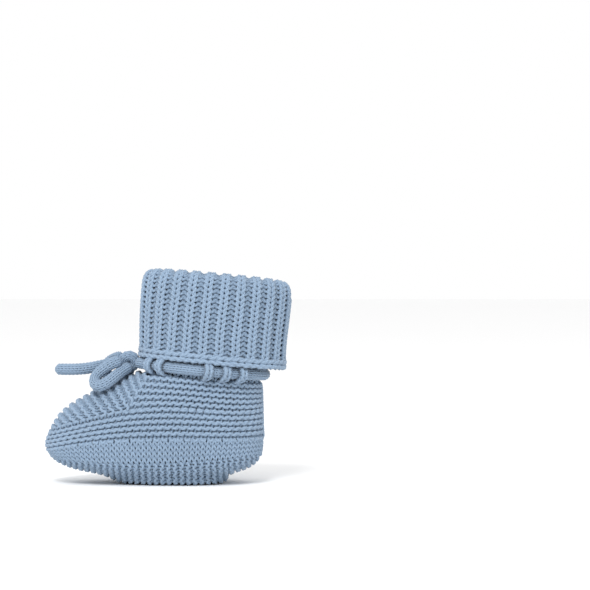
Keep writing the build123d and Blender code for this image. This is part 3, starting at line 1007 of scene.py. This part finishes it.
class Icord:
    """A knitted cord: rings of stitches round a line, over a core whose dark colour is painted shade inside
    the cord.
    """

    def __init__(self, skein: Skein, seed: int) -> None:
        self.skein = skein
        self.knitter = Knitter(skein, seed)

    def lay(self, line: np.ndarray, diameter: float, closed: bool = False, pitch: float = 1.55 * MM) -> float:
        """Knits the cord along a line and returns the line's length.

        Args:
            line: points of its middle.
            diameter: outer diameter of the cord.
            closed: whether it joins its own start; else its ends close to a point.
            pitch: height of one row.
        """
        whole = np.vstack([line, line[:1]]) if closed else line
        length = run_of(whole)
        rows = max(3, round(length / pitch))
        even = resample(line, rows * 2, closed=True) if closed else resample(line, rows * 2 + 1)
        way = unit(np.roll(even, -1, 0) - np.roll(even, 1, 0)) if closed else unit(np.gradient(even, axis=0))
        up = [unit(np.cross(way[0], (0.3, 0.2, 0.93)))]
        for t in way[1:]:
            up.append(unit(up[-1] - (up[-1] @ t) * t))
        up = np.array(up)
        if closed:
            last = up[-1] - (up[-1] @ way[0]) * way[0]
            gap = math.atan2(np.cross(up[0], last) @ way[0], up[0] @ last)
            turn = -gap * np.arange(len(up)) / len(up)
            up = up * np.cos(turn)[:, None] + np.cross(way, up) * np.sin(turn)[:, None]
        side = np.cross(way, up)
        count = 42
        angle = np.arange(count) / count * TURN
        radius = np.full(len(even), diameter / 2)
        if not closed:
            away = np.minimum(np.arange(len(even)), np.arange(len(even))[::-1]) * length / (len(even) - 1)
            close = np.clip(away / (diameter * 0.42), 0, 1)
            radius = diameter / 2 * np.sqrt(np.clip(1 - (1 - close) ** 2, 0.015, 1))
        ring = np.cos(angle)[:, None, None] * up[None] + np.sin(angle)[:, None, None] * side[None]
        points = even[None] + ring * radius[None, :, None]
        if closed:
            points = np.concatenate([points, points[:, :1]], axis=1)
            ring = np.concatenate([ring, ring[:, :1]], axis=1)
        surface = Surface(points, ring, closed=True)
        edges = np.linspace(0, 1, CORD_STITCHES + 1)
        for row in range(rows):
            place = row if closed else row * (rows - 0.3) / (rows - 1) - 0.35
            self.knitter.row(surface, place, rows, edges, CORD, lift=-(CORD.yarn + CORD.depth * 0.6),
                             inside=not closed, sides=5)
        # Painted shade: the core takes the dark ground material, which shows as shade between the cord's
        # stitches.
        core = slice(None) if closed else slice(1, -1)
        self.skein.yarn(even[core], up[core], diameter * 0.30, closed, sides=10, kind=1)
        return length


@dataclass
class Tie:
    """The knitted cord round the ankle, its knot, and the bow's free parts."""

    bootie: Bootie

    def build(self) -> None:
        """Builds the free parts, then the held ones."""
        parts = ((LOOP_RIGHT, "bow loop right", "right_loop", "object"),
                 (LOOP_LEFT, "bow loop left", "left_loop", "object"),
                 (END_RIGHT, "tie end right", "right_end", "bare"),
                 (END_LEFT, "tie end left", "left_end", "bare"))
        for seed, (route, name, body, far_end) in enumerate(parts):
            line = cord_line(name, route)
            skein = Skein()
            length = Icord(skein, 100 + seed).lay(line, TIE_D)
            obj = self.bootie.put_on(skein, name, TIE_YARN, "tie_knit", [name.replace(" ", "_")], body)
            log.info("%s is %.1f mm long", name, length / MM)
        self._round_ankle()
        self._knot()

    def _round_ankle(self) -> None:
        """The cord's stretch round the ankle."""
        angles = np.radians(np.linspace(20, 340, 161))
        starts = leg_place(RAY_REACH * np.sin(angles), BAND_BACKSET - RAY_REACH * np.cos(angles), 0.0)
        centre = leg_place(0.0, BAND_BACKSET, 0.0)
        middle = resample(self.bootie.shapes.tie.line(starts, np.tile(centre, (len(angles), 1))), 150)
        out = unit(np.cross(np.gradient(middle, axis=0), LEG_UP))
        out *= np.sign((out * (middle - centre)).sum(-1, keepdims=True))
        line = middle - out * TIE_D / 2
        ends = [leg_place(x, -0.0283, 0.0) for x in (0.0024, -0.0024)]
        line = np.vstack([ends[0], line, ends[1]])
        skein = Skein()
        Icord(skein, 110).lay(line, TIE_D)
        self.bootie.put_on(skein, "ankle tie", TIE_YARN, "tie_knit", ["ankle_tie"])

    def _knot(self) -> None:
        """The knot: the cord wrapped once over itself."""
        skein = Skein()
        angle = np.arange(40) / 40 * TURN
        wrap = np.stack([KNOT_LEAN * np.sin(angle), KNOT_RING * np.cos(angle), KNOT_RING * np.sin(angle)],
                        axis=1)
        Icord(skein, 120).lay(KNOT + wrap * MM, KNOT_CORD_D, closed=True, pitch=1.5 * MM)
        self.bootie.put_on(skein, "knot", TIE_YARN, "tie_knit", ["tie_knot"])


# ---------------------------------------------------------------- the studio

@dataclass
class Studio:
    """Camera, light and floor."""

    palette: Palette

    def camera(self) -> None:
        """Looks at the bootie's side from its right, almost level."""
        data = bpy.data.cameras.new("camera")
        data.sensor_width = SENSOR_WIDTH
        data.lens = SENSOR_WIDTH * CAMERA_AWAY / FRAME_WIDTH
        data.dof.use_dof = False
        camera = bpy.data.objects.new("camera", data)
        bpy.context.scene.collection.objects.link(camera)
        rise = math.radians(CAMERA_RISE)
        back = Vector((math.cos(rise), 0.0, math.sin(rise)))
        camera.location = Vector(CAMERA_TARGET) + back * CAMERA_AWAY
        camera.rotation_mode = "QUATERNION"
        camera.rotation_quaternion = (-back).to_track_quat("-Z", "Y")
        bpy.context.scene.camera = camera

    def light(self) -> None:
        """A large soft light above, a weaker one in front, and a white room."""
        scene = bpy.context.scene
        scene.view_settings.view_transform = "Standard"
        world = bpy.data.worlds.new("room")
        world.use_nodes = True
        world.node_tree.nodes["Background"].inputs["Color"].default_value = (1.0, 1.0, 1.0, 1)
        world.node_tree.nodes["Background"].inputs["Strength"].default_value = 1.0
        scene.world = world
        lamps = (("key", (0.85, -0.20, 0.95), 0.45, 9.5), ("fill", (0.9, 0.35, 0.25), 0.7, 0.3))
        for name, place, size, power in lamps:
            data = bpy.data.lights.new(name, "AREA")
            data.size = size
            data.energy = power
            lamp = bpy.data.objects.new(name, data)
            lamp.location = place
            lamp.rotation_mode = "QUATERNION"
            lamp.rotation_quaternion = (Vector((0, 0, 0.05)) - Vector(place)).to_track_quat("-Z", "Y")
            scene.collection.objects.link(lamp)

    def floor(self) -> None:
        """A pale plain floor."""
        bpy.ops.mesh.primitive_plane_add(size=6.0, location=(0, 0, -0.0004))
        floor = bpy.context.object
        floor.name = "floor"
        floor.data.materials.append(self.palette.plain("floor", (0.95, 0.95, 0.95), 0.9))


def main() -> None:
    """Builds the scene."""
    logging.basicConfig(level=logging.INFO, format="%(message)s")
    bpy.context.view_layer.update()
    palette = Palette()
    studio = Studio(palette)
    studio.camera()
    studio.light()
    studio.floor()
    bootie = Bootie(palette, Shapes.read())
    Tie(bootie).build()
    for step in (bootie.cuff, bootie.ankle, bootie.walls, bootie.foot_band, bootie.instep, bootie.sole_edge,
                 bootie.sole, bootie.heel_seam):
        log.info("knitting: %s", step.__name__)
        step()


if __name__ == "__main__":
    main()
